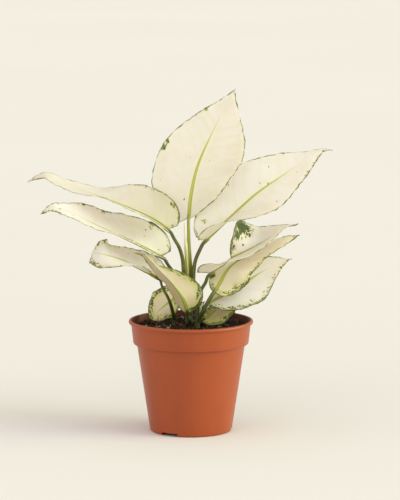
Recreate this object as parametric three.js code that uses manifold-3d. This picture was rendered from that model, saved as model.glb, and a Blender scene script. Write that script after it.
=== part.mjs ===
// Potted white joy aglaonema: a clump of three short canes with twelve cream leaves, in a
// terracotta-coloured plastic nursery pot.
// Millimetres, +Z up, the front at -Y. The pot stands on z = 0 with its axis on x = 0, y = 0.
import * as THREE from "three";
import { mergeVertices } from "three/addons/utils/BufferGeometryUtils.js";
import Module from "manifold-3d";

const wasm = await Module();
wasm.setup();

// Pot: body, rim band and rolled lip, in radii and heights.
const POT_HEIGHT = 108;
const POT_FOOT_RADIUS = 39.4;
const POT_FOOT_ROUND = 1.2;
const POT_STEP_RADIUS = 52.3;
const POT_STEP_HEIGHT = 85.4;
const POT_BAND_LOW_RADIUS = 55.6;
const POT_BAND_TOP_RADIUS = 57.8;
const POT_LIP_RADIUS = 60;
const POT_LIP_HEIGHT = 3;
const POT_LIP_ROUND = 0.9;
const POT_MOUTH_RADIUS = 56.6;
const POT_MOUTH_ROUND = 0.6;
const POT_WALL = 1.9;
const POT_FLOOR = 2.2;
const POT_SIDES = 48;

// Under the pot: a flat centre, a raised ring with drain holes, and slots through the foot.
const FOOT_CENTRE_RADIUS = 20;
const FOOT_RING_RADIUS = 33.5;
const FOOT_RECESS = 3.2;
const FOOT_RECESS_SLOPE = 0.6;
const DRAIN_HOLES = 6;
const DRAIN_HOLE_RADIUS = 4;
const DRAIN_SLOTS = 3;
const DRAIN_SLOT_WIDTH = 18;
const DRAIN_SLOT_DEPTH = 12;
const DRAIN_SLOT_TURN = 238;

// Soil: height at the wall, mound round the stems and low lumps.
const SOIL_EDGE_HEIGHT = 101.2;
const SOIL_MOUND = 1.6;
const SOIL_MOUND_BACK = 5;
const SOIL_LUMP = 0.45;
const SOIL_LUMP_WAVES = [0.3, 0.55];
const SOIL_RINGS = 6;
const SOIL_SIDES = 36;
const SOIL_CLEARANCE = 0.45;

// Clearance between pieces that touch.
const FIT_GAP = 0.3;

// Leaf blades.
const BLADE_THICKNESS = 0.7;
const BLADE_BASE_HALF = 1.3;
const BLADE_TIP_HALF = 0.35;
const BLADE_ROW_LENGTH = 9;
const BLADE_LEAST_ROWS = 9;
const BLADE_MOST_ROWS = 15;
const BLADE_SIDE_COLUMNS = 3;
const RIB_HALF_WIDTH = 1.3;
const RIB_DEPTH = 1.7;
const RIB_END = 0.75;
const LOBE_TAPER = 8;
const TIP_SHARPNESS = 1.25;

// Leaf stalks, round in section and thicker at the foot. The neck runs straight on from the midrib.
const STALK_TOP_RADIUS = 1.45;
const STALK_FOOT_RADIUS = 1.95;
const STALK_NECK = 3.5;
const STALK_SIDES = 8;
const STALK_STEP = 8;

// Every leaf: midrib points from the stalk to the tip, the way the upper face looks at both
// ends, and for the left and the right half (seen along the midrib, from above) the greatest
// width, the place of that width, how full the base is, how far the base lobe hangs back, and
// the fold: degrees that the half is lifted, at five places from base to tip.
const LEAVES = {
  top: {
    midrib: [[-2, 9, 205], [0, 18, 226], [7, 29, 255], [22, 37, 288], [35, 41, 313], [43, 41, 328]],
    faces: [[0.05, -1, 0.25], [0.1, -1, 0.3]],
    left: { width: 41, widest: 0.32, full: 0.55, lobe: 6, fold: [-12, -10, 4, 4, 6] },
    right: { width: 42, widest: 0.52, full: 0.75, lobe: 2, fold: [35, 22, 28, 24, 7] },
    wave: 1.5,
    waves: 3,
    stalk: [[-2, 4, 185], [-1, 3, 168], [0, 2, 150], [-1, 1, 135]],
  },
  upper_right: {
    midrib: [[14, 2, 184], [31, 10, 199], [62, 25, 226], [93, 39, 246], [124, 50, 266], [138, 54, 266]],
    faces: [[-0.3, -0.6, 0.6], [-0.3, -0.6, 0.6]],
    left: { width: 35, widest: 0.42, full: 0.45, lobe: 5, fold: [30, 25, 21, 18, -35] },
    right: { width: 34, widest: 0.38, full: 0.45, lobe: 8, fold: [95, 58, 11, 2, 0] },
    wave: 1.2,
    waves: 3,
    stalk: [[9, 1, 177], [5, 0, 168], [3, -1, 159], [2, -2, 143], [0, -1, 129]],
    stalkRadii: [1.8, 2.1],
  },
  upper_left: {
    midrib: [[-22, -8, 196], [-37, -4, 206], [-70, 6, 220], [-98, 14, 230], [-124, 20, 240],
      [-141, 22, 247], [-158, 22, 239]],
    faces: [[0, -0.1, 1], [0, -0.1, 1]],
    left: { width: 33, widest: 0.46, full: 0.6, lobe: 8, fold: [19, 18, 19, 6, -27] },
    right: { width: 32, widest: 0.26, full: 0.5, lobe: 7, fold: [76, 54, 28, -4, 15] },
    wave: 1,
    waves: 3,
    stalk: [[-16, -8, 188], [-11, -7, 179], [-8, -5, 168], [-7, -4, 157],
      [-6, -3, 143], [-3, 0, 127]],
    stalkRadii: [1.6, 2.2],
  },
  middle_left: {
    midrib: [[-28, -3, 169], [-43, -8, 178], [-65, -15, 190], [-87, -20, 201], [-111, -24, 214],
      [-130, -26, 221], [-143, -27, 214]],
    faces: [[0, -0.1, 1], [0, -0.1, 1]],
    left: { width: 33, widest: 0.42, full: 0.6, lobe: 8, fold: [9, 3, 9, 1, -30] },
    right: { width: 33, widest: 0.34, full: 0.45, lobe: 8, fold: [62, 60, 30, 26, 29] },
    wave: 1,
    waves: 3,
    stalk: [[-22, -2, 162], [-16, 0, 153], [-11, 1, 142], [-3, 1, 125]],
    stalkRadii: [1.6, 2],
  },
  lower_left: {
    midrib: [[-32, -13, 150], [-49, -23, 161], [-66, -33, 171], [-82, -39, 177], [-91, -35, 178],
      [-94, -24, 176], [-94, -12, 174]],
    faces: [[0.1, -0.6, 0.9], [-1, -0.2, 0.3]],
    left: { width: 22, widest: 0.34, full: 1, lobe: 2, begin: 0.08, fold: [60, 52, 34, -3, 5] },
    right: { width: 24, widest: 0.36, full: 0.5, lobe: 11, fold: [43, 37, 6, 6, 2] },
    wave: 0.8,
    waves: 3,
    stalk: [[-27, -14, 141], [-22, -14, 132], [-19, -11, 123], [-16, -4, 109]],
    stalkRadii: [1.2, 1.7],
  },
  front: {
    midrib: [[-3, -14, 117], [-8, -25, 133], [-18, -36, 149], [-31, -43, 164], [-43, -43, 177],
      [-54, -40, 179]],
    faces: [[0.1, -1, 0.3], [0.1, -0.7, 0.6]],
    left: { width: 12, widest: 0.38, full: 0.6, lobe: 3, fold: [-24, -45, -80, -75, -20] },
    right: { width: 27, widest: 0.4, full: 0.5, lobe: 4, fold: [-8, -8, -45, -60, -50] },
    wave: 0.8,
    waves: 3,
    stalk: [[-1, -12, 110], [-1, -7, 107], [-2, 0, 106]],
  },
  low_left: {
    midrib: [[-13, 17, 128], [-22, 21, 121], [-32, 23, 112], [-40, 24, 105]],
    faces: [[-0.4, -0.7, 0.6], [-0.4, -0.7, 0.6]],
    left: { width: 19, widest: 0.48, full: 0.42, lobe: 7, fold: [5, 5, 5, 15, 10] },
    right: { width: 21, widest: 0.5, full: 0.42, lobe: 5, fold: [10, 10, 0, 5, 10] },
    wave: 0.8,
    waves: 2,
    tip: 0.7,
    stalk: [[-6, 11, 123], [-3, 5, 114], [-2, 1, 106]],
  },
  right_patch: {
    midrib: [[19, -4, 153], [29, -2, 160], [38, 0, 167], [57, 4, 176], [74, 9, 185], [90, 14, 196],
      [104, 17, 199]],
    faces: [[0, -0.2, 1], [0, -0.3, 1]],
    left: { width: 31, widest: 0.46, full: 0.6, lobe: 0, begin: 0.25, fold: [20, 50, 80, 10, -30] },
    right: { width: 26, widest: 0.28, full: 0.45, lobe: 12, fold: [100, 48, 12, 22, 5] },
    wave: 1.2,
    waves: 2.5,
    stalk: [[14, -5, 145], [10, -6, 138], [7, -7, 126], [6, -8, 115], [6, -9, 107]],
    stalkRadii: [1.6, 2],
  },
  right_middle: {
    midrib: [[22, -14, 137], [27, -10, 144], [34, -4, 156], [43, 1, 164], [59, 6, 171], [76, 9, 178],
      [93, 11, 185], [105, 12, 189]],
    faces: [[0, -0.4, 1], [0, -0.4, 1]],
    left: { width: 24, widest: 0.46, full: 0.75, lobe: 4, fold: [-8, -12, -30, -20, 0] },
    right: { width: 26, widest: 0.44, full: 0.5, lobe: 3, fold: [-5, -25, -12, 14, -20] },
    wave: 1.2,
    waves: 2.5,
    stalk: [[16, -15, 127], [11, -14, 117], [6, -9, 106]],
    stalkRadii: [1.9, 2.2],
  },
  right_low: {
    midrib: [[15, -9, 124], [22, -7, 128], [34, -3, 134], [51, 4, 143], [69, 12, 153], [86, 18, 161],
      [98, 21, 164]],
    faces: [[0, -0.4, 1], [0, -0.4, 1]],
    left: { width: 24, widest: 0.5, full: 0.9, lobe: 0, fold: [0, 0, 5, 20, 20] },
    right: { width: 26, widest: 0.42, full: 0.65, lobe: 2, fold: [5, -12, -25, -20, 5] },
    wave: 0.8,
    waves: 3,
    stalk: [[11, -9, 117], [6, -9, 107]],
    stalkRadii: [1.2, 1.8],
  },
  right_front: {
    midrib: [[10, -5, 108], [17, -3, 112], [24, 0, 118], [34, 6, 126], [44, 13, 132]],
    faces: [[0, -0.5, 1], [0, -0.5, 1]],
    left: { width: 8, widest: 0.42, full: 0.6, lobe: 2, fold: [30, 35, 10, 5, 0] },
    right: { width: 17, widest: 0.52, full: 0.6, lobe: 2, fold: [-10, -12, -15, -10, -3] },
    wave: 0.8,
    waves: 2,
    stalk: [[4, -9, 105]],
  },
  small_middle: {
    midrib: [[7, 8, 108], [8, 8, 115], [10, 7, 121], [13, 6, 125]],
    faces: [[0, -1, 0.4], [0, -1, 0.4]],
    left: { width: 5, widest: 0.4, full: 0.6, lobe: 1, fold: [20, 20, 20, 16, 10] },
    right: { width: 5, widest: 0.4, full: 0.6, lobe: 1, fold: [20, 20, 20, 18, 10] },
    wave: 0.2,
    waves: 2,
    stalk: [[3, 4, 106], [-2, 1, 106]],
    stalkRadii: [0.9, 1],
  },
};
const WAVE_START = { left: 0, right: 1.5 };

// Canes: points from the root ball up, with the radius at the bottom and at the top.
const CANES = {
  main: { points: [[-2, 1, 70], [-2, 1, 105], [-2, 1, 144]], radii: [4.6, 3.2] },
  left: { points: [[-16, -1, 75], [-16, -1, 100], [-16, -2, 113]], radii: [3, 2.5] },
  right: { points: [[4, -9, 72], [6, -9, 104], [7, -9, 110]], radii: [3.4, 2.8] },
};
const CANE_SIDES = 12;
const CANE_STEP = 12;

// New leaf: still rolled, beside the stalk of the top leaf.
const NEW_LEAF = {
  points: [[-3, 0, 137], [-3, 0, 151], [-4, 1, 168], [-5, 2, 185], [-6, 4, 202]],
  radii: [1.7, 1.9, 1.9, 0.6],
};

const MATERIALS = {
  pot: { color: "#bd6a44", roughness: 0.45 },
  soil: { color: "#32241b", roughness: 1 },
  cane: { color: "#5c6a2e", roughness: 0.6 },
  stalk: { color: "#55701f", roughness: 0.4 },
  newLeaf: { color: "#cfcf86", roughness: 0.4 },
  blade: { color: "#efe5cd", roughness: 0.4 },
};

const group = new THREE.Group();

// A closed body from vertex and triangle lists.
function solidFrom(positions, triangles) {
  return new wasm.Manifold(new wasm.Mesh({
    numProp: 3,
    vertProperties: new Float32Array(positions),
    triVerts: new Uint32Array(triangles),
  }));
}

function solidFromGeometry(geometry) {
  const bare = geometry.clone();
  bare.deleteAttribute("normal");
  bare.deleteAttribute("uv");
  const welded = mergeVertices(bare, 1e-4);
  return solidFrom(welded.attributes.position.array, welded.index.array);
}

function addNode(name, solid, look) {
  const { vertProperties, triVerts } = solid.getMesh();
  const geometry = new THREE.BufferGeometry();
  geometry.setAttribute("position", new THREE.BufferAttribute(vertProperties, 3));
  geometry.setIndex(new THREE.BufferAttribute(triVerts, 1));
  geometry.computeVertexNormals();
  const mesh = new THREE.Mesh(geometry, new THREE.MeshStandardMaterial({ metalness: 0, ...look }));
  mesh.name = name;
  group.add(mesh);
}

// The largest body that is left of a solid once others, with their clearance, are cut away.
function cutClear(solid, others) {
  const rest = others.reduce((left, other) => left.subtract(other), solid);
  return rest.decompose().reduce((a, b) => (a.volume() > b.volume() ? a : b));
}

function curveThrough(points) {
  return new THREE.CatmullRomCurve3(points.map((p) => new THREE.Vector3(...p)), false, "catmullrom");
}

function lerpList(values, u) {
  const place = THREE.MathUtils.clamp(u, 0, 1) * (values.length - 1);
  const i = Math.min(Math.floor(place), values.length - 2);
  return THREE.MathUtils.lerp(values[i], values[i + 1], place - i);
}

// A round stem along a curve, with flat ends; grow adds clearance to its radius and its ends.
function stemSolid(points, radii, sides, step, grow = 0) {
  const curve = curveThrough(points);
  const steps = Math.max(3, Math.round(curve.getLength() / step));
  const frames = curve.computeFrenetFrames(steps);
  const positions = [];
  for (let i = 0; i <= steps; i += 1) {
    const centre = curve.getPointAt(i / steps);
    const end = i === 0 ? -grow : i === steps ? grow : 0;
    centre.addScaledVector(frames.tangents[i], end);
    const radius = lerpList(radii, i / steps) + grow;
    for (let j = 0; j < sides; j += 1) {
      const angle = (2 * Math.PI * j) / sides;
      const point = centre.clone()
        .addScaledVector(frames.normals[i], radius * Math.cos(angle))
        .addScaledVector(frames.binormals[i], radius * Math.sin(angle));
      positions.push(...point.toArray());
    }
  }
  const triangles = [];
  for (let i = 0; i < steps; i += 1) {
    for (let j = 0; j < sides; j += 1) {
      const a = i * sides + j;
      const b = i * sides + ((j + 1) % sides);
      triangles.push(a, b, b + sides, a, b + sides, a + sides);
    }
  }
  const last = steps * sides;
  for (let j = 1; j < sides - 1; j += 1) {
    triangles.push(0, j + 1, j, last, last + j, last + j + 1);
  }
  return solidFrom(positions, triangles);
}

// The fold between its five places, which lie closer together at the base.
function foldAt(fold, u) {
  const spans = fold.length - 1;
  const place = u ** (2 / 3) * spans;
  const i = Math.min(Math.floor(place), spans - 1);
  const before = i > 0 ? fold[i - 1] : 2 * fold[0] - fold[1];
  const after = i < spans - 1 ? fold[i + 2] : 2 * fold[spans] - fold[spans - 1];
  const [from, to] = [fold[i], fold[i + 1]];
  const [t0, t1] = [(to - before) / 2, (after - from) / 2];
  const w = place - i;
  const degrees = from + t0 * w + (3 * (to - from) - 2 * t0 - t1) * w ** 2
    + (2 * (from - to) + t0 + t1) * w ** 3;
  return THREE.MathUtils.degToRad(degrees);
}

// Half-width of one half: it swells from the base to the widest place and narrows to the tip.
function halfWidth(half, tip, u) {
  const begin = half.begin ?? 0;
  const v = THREE.MathUtils.clamp((u - begin) / (1 - begin), 0, 1);
  const swell = Math.sin((Math.PI / 2) * Math.min(v / half.widest, 1) ** half.full);
  const taper = Math.cos((Math.PI / 2) * Math.max((v - half.widest) / (1 - half.widest), 0)) ** tip;
  const least = THREE.MathUtils.lerp(BLADE_BASE_HALF, BLADE_TIP_HALF, u);
  return Math.max(half.width * (v < half.widest ? swell : taper), least);
}

// The middle surface of one half, as rows of points from the midrib to the margin.
function halfSurface(leaf, side, rows) {
  const curve = curveThrough(leaf.midrib);
  const half = leaf[side];
  const turn = side === "right" ? 1 : -1;
  const grid = [];
  for (let i = 0; i <= rows; i += 1) {
    const u = i / rows;
    const centre = curve.getPointAt(u);
    const along = curve.getTangentAt(u);
    const face = new THREE.Vector3(...leaf.faces[0]).lerp(new THREE.Vector3(...leaf.faces[1]), u);
    face.addScaledVector(along, -face.dot(along)).normalize();
    const across = along.clone().cross(face).multiplyScalar(turn);
    const fold = foldAt(half.fold, u);
    const width = halfWidth(half, leaf.tip ?? TIP_SHARPNESS, u);
    const rib = Math.min(0.5, RIB_HALF_WIDTH / width);
    const hang = THREE.MathUtils.clamp((width - BLADE_BASE_HALF) / LOBE_TAPER, 0, 1);
    const row = [centre.clone()];
    for (let j = 0; j <= BLADE_SIDE_COLUMNS; j += 1) {
      const s = rib + (1 - rib) * (j / BLADE_SIDE_COLUMNS);
      const ripple = leaf.wave * s ** 2 * Math.sqrt(Math.sin(Math.PI * Math.min(u, 1)) + 1e-9)
        * Math.sin(2 * Math.PI * leaf.waves * u + WAVE_START[side]);
      const back = half.lobe * s ** 1.5 * (1 - u) ** 4 * hang;
      row.push(centre.clone()
        .addScaledVector(across, width * s * Math.cos(fold))
        .addScaledVector(face, width * s * Math.sin(fold) + ripple)
        .addScaledVector(along, -back));
    }
    grid.push(row);
  }
  return grid;
}

// Surface normals at the points of one half, all towards the upper face.
function gridNormals(grid, side) {
  const columns = grid[0].length;
  const triangles = [];
  for (let i = 0; i < grid.length - 1; i += 1) {
    for (let j = 0; j < columns - 1; j += 1) {
      const a = i * columns + j;
      triangles.push(a, a + 1, a + columns + 1, a, a + columns + 1, a + columns);
    }
  }
  const surface = new THREE.BufferGeometry().setFromPoints(grid.flat());
  surface.setIndex(triangles);
  surface.computeVertexNormals();
  const turn = side === "right" ? 1 : -1;
  const { normal } = surface.attributes;
  return grid.map((row, i) => row.map((point, j) => (
    new THREE.Vector3().fromBufferAttribute(normal, i * columns + j).multiplyScalar(turn)
  )));
}

// A blade: upper and lower faces with the same triangles, a ridge under the midrib, one tip point.
function bladeSolid(leaf) {
  const length = curveThrough(leaf.midrib).getLength();
  const rows = THREE.MathUtils.clamp(
    Math.round(length / BLADE_ROW_LENGTH), BLADE_LEAST_ROWS, BLADE_MOST_ROWS);
  const [left, right] = ["left", "right"].map((side) => halfSurface(leaf, side, rows));
  const [leftUp, rightUp] = [gridNormals(left, "left"), gridNormals(right, "right")];
  const thick = BLADE_THICKNESS / 2;
  const positions = [];
  const columns = 2 * left[0].length - 1;
  const middle = left[0].length - 1;
  const addPair = (point, up, low) => {
    positions.push(...point.clone().addScaledVector(up, thick).toArray());
    positions.push(...point.clone().addScaledVector(up, -thick - low).toArray());
  };
  const along = curveThrough(leaf.midrib).getTangentAt(0);
  for (const up of [...leftUp[0], ...rightUp[0]]) {
    up.addScaledVector(along, -up.dot(along)).normalize();
  }
  for (let i = 0; i < rows; i += 1) {
    const rib = RIB_DEPTH * Math.max(0, 1 - i / rows / RIB_END);
    for (let j = 0; j < columns; j += 1) {
      if (j < middle) {
        addPair(left[i][middle - j], leftUp[i][middle - j], 0);
      } else if (j > middle) {
        addPair(right[i][j - middle], rightUp[i][j - middle], 0);
      } else {
        const up = leftUp[i][0].clone().add(rightUp[i][0]);
        addPair(left[i][0], up.multiplyScalar(2 / up.lengthSq()), rib);
      }
    }
  }
  addPair(left[rows][0], leftUp[rows][0].clone().add(rightUp[rows][0]).normalize(), 0);
  const above = (i, j) => 2 * (i * columns + j);
  const triangles = [];
  const addBoth = (a, b, c) => triangles.push(a, b, c, c + 1, b + 1, a + 1);
  for (let i = 0; i < rows - 1; i += 1) {
    for (let j = 0; j < columns - 1; j += 1) {
      const [a, b] = [above(i, j), above(i, j + 1)];
      const [c, d] = [above(i + 1, j + 1), above(i + 1, j)];
      if (j < middle) {
        addBoth(a, b, d);
        addBoth(b, c, d);
      } else {
        addBoth(a, b, c);
        addBoth(a, c, d);
      }
    }
  }
  const tip = above(rows, 0);
  for (let j = 0; j < columns - 1; j += 1) {
    addBoth(above(rows - 1, j), above(rows - 1, j + 1), tip);
  }
  const addEdge = (a, b) => triangles.push(a, a + 1, b + 1, a, b + 1, b);
  for (let j = 0; j < columns - 1; j += 1) {
    addEdge(above(0, j), above(0, j + 1));
  }
  for (let i = 0; i < rows; i += 1) {
    const last = i === rows - 1;
    addEdge(above(i, columns - 1), last ? tip : above(i + 1, columns - 1));
    addEdge(last ? tip : above(i + 1, 0), above(i, 0));
  }
  return solidFrom(positions, triangles);
}

// Pot, turned from one closed profile, with slots and drain holes cut through its foot.
const POT_FLOOR_HEIGHT = FOOT_RECESS + POT_FLOOR;
const potInside = [
  [POT_FOOT_RADIUS - POT_WALL, POT_FLOOR_HEIGHT],
  [POT_STEP_RADIUS - POT_WALL, POT_STEP_HEIGHT + POT_WALL],
  [POT_BAND_LOW_RADIUS - POT_WALL, POT_STEP_HEIGHT + POT_WALL],
  [POT_MOUTH_RADIUS, POT_HEIGHT - POT_MOUTH_ROUND],
];
const potProfile = [
  [0, 0],
  [FOOT_CENTRE_RADIUS, 0],
  [FOOT_CENTRE_RADIUS + FOOT_RECESS_SLOPE, FOOT_RECESS],
  [FOOT_RING_RADIUS - FOOT_RECESS_SLOPE, FOOT_RECESS],
  [FOOT_RING_RADIUS, 0],
  [POT_FOOT_RADIUS - POT_FOOT_ROUND, 0],
  [POT_FOOT_RADIUS, POT_FOOT_ROUND],
  [POT_STEP_RADIUS, POT_STEP_HEIGHT],
  [POT_BAND_LOW_RADIUS, POT_STEP_HEIGHT],
  [POT_BAND_TOP_RADIUS, POT_HEIGHT - POT_LIP_HEIGHT],
  [POT_LIP_RADIUS - POT_LIP_ROUND, POT_HEIGHT - POT_LIP_HEIGHT],
  [POT_LIP_RADIUS, POT_HEIGHT - POT_LIP_HEIGHT + POT_LIP_ROUND],
  [POT_LIP_RADIUS, POT_HEIGHT - POT_LIP_ROUND],
  [POT_LIP_RADIUS - POT_LIP_ROUND, POT_HEIGHT],
  [POT_MOUTH_RADIUS + POT_MOUTH_ROUND, POT_HEIGHT],
  ...potInside.toReversed(),
  [0, POT_FLOOR_HEIGHT],
];
let pot = solidFromGeometry(new THREE.LatheGeometry(
  potProfile.map(([r, z]) => new THREE.Vector2(r, z)), POT_SIDES).rotateX(Math.PI / 2));
const slotShape = new THREE.BoxGeometry(DRAIN_SLOT_WIDTH, DRAIN_SLOT_DEPTH, 2 * FOOT_RECESS);
for (let i = 0; i < DRAIN_SLOTS; i += 1) {
  const slot = slotShape.clone().translate(0, -(FOOT_RING_RADIUS + POT_FOOT_RADIUS) / 2, 0);
  const turn = THREE.MathUtils.degToRad(DRAIN_SLOT_TURN + 90 + (360 / DRAIN_SLOTS) * i);
  pot = pot.subtract(solidFromGeometry(slot.rotateZ(turn)));
}
for (let i = 0; i < DRAIN_HOLES; i += 1) {
  const hole = new THREE.CylinderGeometry(DRAIN_HOLE_RADIUS, DRAIN_HOLE_RADIUS, 4 * POT_FLOOR, 16);
  hole.rotateX(Math.PI / 2).translate(0, -(FOOT_CENTRE_RADIUS + FOOT_RING_RADIUS) / 2, POT_FLOOR_HEIGHT);
  pot = pot.subtract(solidFromGeometry(hole.rotateZ((2 * Math.PI * i) / DRAIN_HOLES)));
}
addNode("pot", pot, MATERIALS.pot);

// Canes, and the same canes with clearance for all that stands round them.
const canes = {};
const caneRoom = {};
for (const [name, { points, radii }] of Object.entries(CANES)) {
  canes[name] = stemSolid(points, radii, CANE_SIDES, CANE_STEP);
  caneRoom[name] = stemSolid(points, radii, CANE_SIDES, CANE_STEP, FIT_GAP);
}

// Soil: fills the pot to a mound, with a plain hole for each cane.
function soilHeight(x, y) {
  const inward = 1 - Math.min(1, Math.hypot(x, y) / POT_MOUTH_RADIUS) ** 2;
  const [broad, fine] = SOIL_LUMP_WAVES;
  const lumps = Math.sin(broad * x + 1) * Math.cos(broad * y) + Math.sin(fine * y + broad * x);
  const mound = SOIL_MOUND + SOIL_MOUND_BACK * (y / POT_MOUTH_RADIUS);
  return SOIL_EDGE_HEIGHT + mound * inward + SOIL_LUMP * lumps * Math.min(1, 3 * inward);
}
const soilSide = potInside.map(([r, z]) => [r - SOIL_CLEARANCE, z + FIT_GAP]);
const [[, bandFoot], [, bandTop]] = soilSide.slice(2);
const soilRadius = THREE.MathUtils.mapLinear(
  SOIL_EDGE_HEIGHT, bandFoot, bandTop, soilSide[2][0], soilSide[3][0]);
const soilProfile = [[0, soilSide[0][1]], ...soilSide.slice(0, 3)];
for (let i = 0; i < SOIL_RINGS; i += 1) {
  soilProfile.push([soilRadius * (1 - i / SOIL_RINGS), SOIL_EDGE_HEIGHT]);
}
soilProfile.push([0, SOIL_EDGE_HEIGHT]);
const soilGeometry = new THREE.LatheGeometry(
  soilProfile.map(([r, z]) => new THREE.Vector2(r, z)), SOIL_SIDES).rotateX(Math.PI / 2);
const soilPoints = soilGeometry.attributes.position;
for (let i = 0; i < soilPoints.count; i += 1) {
  if (soilPoints.getZ(i) > SOIL_EDGE_HEIGHT - 0.1) {
    soilPoints.setZ(i, soilHeight(soilPoints.getX(i), soilPoints.getY(i)));
  }
}
const standing = Object.values(caneRoom);
addNode("soil", cutClear(solidFromGeometry(soilGeometry), standing), MATERIALS.soil);

for (const [name, cane] of Object.entries(canes)) {
  addNode(`cane_${name}`, cane, MATERIALS.cane);
}

// A stalk runs straight on from the midrib for a short neck and then down to its cane.
function stalkSolid(leaf, grow = 0) {
  const midrib = curveThrough(leaf.midrib);
  const neck = [FIT_GAP, STALK_NECK].map((reach) => (
    midrib.getPointAt(0).addScaledVector(midrib.getTangentAt(0), -reach).toArray()));
  const radii = leaf.stalkRadii ?? [STALK_TOP_RADIUS, STALK_FOOT_RADIUS];
  return stemSolid([...neck, ...leaf.stalk], radii, STALK_SIDES, STALK_STEP, grow);
}

// Stalks and the new leaf stand clear of the canes and of each other.
for (const [name, leaf] of Object.entries(LEAVES)) {
  addNode(`stalk_${name}`, cutClear(stalkSolid(leaf), standing), MATERIALS.stalk);
  addNode(`blade_${name}`, bladeSolid(leaf), MATERIALS.blade);
  standing.push(stalkSolid(leaf, FIT_GAP));
}
const newLeaf = stemSolid(NEW_LEAF.points, NEW_LEAF.radii, STALK_SIDES, STALK_STEP);
addNode("new_leaf", cutClear(newLeaf, standing), MATERIALS.newLeaf);

export default group;
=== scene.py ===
"""Potted white joy aglaonema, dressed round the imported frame: twelve cream leaves with green mottled
margins, their stalks and canes, peat soil and a moulded plastic nursery pot.
Metres, +Z up, the front at -Y. The pot stands on z = 0 with its axis on x = 0, y = 0."""
import math
from typing import NamedTuple

import bmesh
import bpy
import numpy as np
from mathutils import Matrix, Vector, noise


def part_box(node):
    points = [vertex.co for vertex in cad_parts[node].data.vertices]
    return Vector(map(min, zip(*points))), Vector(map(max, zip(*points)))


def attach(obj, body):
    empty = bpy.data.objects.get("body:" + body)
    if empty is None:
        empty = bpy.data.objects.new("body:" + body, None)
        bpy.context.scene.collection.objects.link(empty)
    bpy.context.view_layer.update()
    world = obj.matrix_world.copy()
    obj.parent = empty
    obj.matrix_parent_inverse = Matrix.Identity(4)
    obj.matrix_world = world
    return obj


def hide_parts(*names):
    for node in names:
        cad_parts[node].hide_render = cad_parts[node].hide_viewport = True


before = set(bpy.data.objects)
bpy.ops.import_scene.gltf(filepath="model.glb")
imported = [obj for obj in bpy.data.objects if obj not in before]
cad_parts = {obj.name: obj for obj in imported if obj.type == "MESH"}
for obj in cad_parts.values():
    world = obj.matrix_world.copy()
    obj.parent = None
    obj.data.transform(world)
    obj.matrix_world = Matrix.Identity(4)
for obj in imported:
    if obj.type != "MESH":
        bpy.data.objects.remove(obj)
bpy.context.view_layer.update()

# Camera of the photograph: no turn, looking slightly down, with a long lens.
IMAGE_HEIGHT = 500
CAMERA_PITCH = math.radians(8.2)
CAMERA_TARGET = Vector((0.00875, 0, 0.1759))
CAMERA_DISTANCE = 3.0
CAMERA_FOCAL_PIXELS = 3120
CAMERA_RANGE = 50
SENSOR = 36

# Studio: the floor, the sky's colour and strength, and soft lights from far away, each with its
# turn from the front towards the right, its height and its spread in degrees, strength, colour.
FLOOR_RADIUS = 14
SKY_COLOUR = (1, 0.92, 0.86, 1)
SKY_STRENGTH = 0.72
SUNS = {
    "key": (66, 27, 35, 1.2, (0.84, 0.95, 0.95)),
    "rim": (88, 6, 50, 2.9, (0.85, 1, 0.5)),
    "fill": (-62, 12, 80, 0.85, (1, 0.94, 0.82)),
    "front": (4, 26, 80, 0.68, (0.98, 0.92, 0.84)),
}

# Leaf blades: thickness, grid, side veins and relief. A pair is the distance at which something
# starts and the one at which it is complete, or the size of large and of small bumps.
BLADE_THICKNESS = 0.00055
MARGIN_THICKNESS = 0.00028
BASE_HALF = 0.0013
TIP_HALF = 0.00035
LOBE_TAPER = 0.008
ROW_LENGTH = 0.00125
SIDE_COLUMNS = 26
COLUMN_CROWDING = 0.08
FOLD_BUNCHING = 2 / 3
WAVE_START = (0, 1.5)  # phase of the left and of the right margin's waves
KEEL_DEPTH = 0.0011
KEEL_HALF = 0.0012
KEEL_END = 0.8
CHANNEL_DEPTH = 0.0003
VEIN_SPACING = 0.012
VEIN_SHIFT = 0.37
VEIN_SLANT = 0.55
VEIN_BEND = 4.0
VEIN_HEIGHT = 0.00012
VEIN_FROM_RIB = (0.001, 0.004)
VEIN_FROM_MARGIN = (0, 0.006)
DRIFT_SIZE = 0.03
RELIEF_FROM_RIB = (0.001, 0.008)
RELIEF_FROM_MARGIN = (0.0005, 0.008)
QUILT_HEIGHT = 0.00014
ROLL_HEIGHT = 0.0004
ROLL_SIZE = 0.016
HEM = 0.007
CRINKLE_HEIGHT = 0.0004
CRINKLE_SIZES = (0.006, 0.0028)
RAGGED_EDGE = 0.0006
RAGGED_SIZES = (0.0045, 0.002)

# Stalks, canes and the rolled new leaf. A stalk's neck runs straight on from the midrib, from
# inside the blade to behind it, and its groove turns to the groove side.
STALK_NECK = (0.004, -0.0003, -0.0035)
STALK_SIDES = 20
STALK_STEP = 0.0015
GROOVE_SIDE = (0, 0.0005, 0.02)
GROOVE_DEPTH = 0.16
GROOVE_SPREAD = 0.45
SHEATH_HEIGHT = 0.45
SHEATH_TURN = 0.75
SHEATH_SPREAD = 0.16
CANE_SIDES = 36
CANE_STEP = 0.0007
SCAR_SPACING = 0.009
SCAR_TILT = 0.08
CANES = {
    "main": ([(-.002, .001, .07), (-.002, .001, .105), (-.002, .001, .144)], (.0046, .0032)),
    "left": ([(-.016, -.001, .075), (-.016, -.001, .1), (-.016, -.002, .113)], (.003, .0025)),
    "right": ([(.004, -.009, .072), (.006, -.009, .104), (.007, -.009, .11)], (.0034, .0028)),
}
NEW_LEAF_POINTS = [(-.003, 0, .137), (-.003, 0, .151), (-.004, .001, .168), (-.005, .002, .185),
                   (-.006, .004, .202)]
NEW_LEAF_RADII = (.0017, .0019, .0019, .0006)
NEW_LEAF_SIDES = 32


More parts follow.
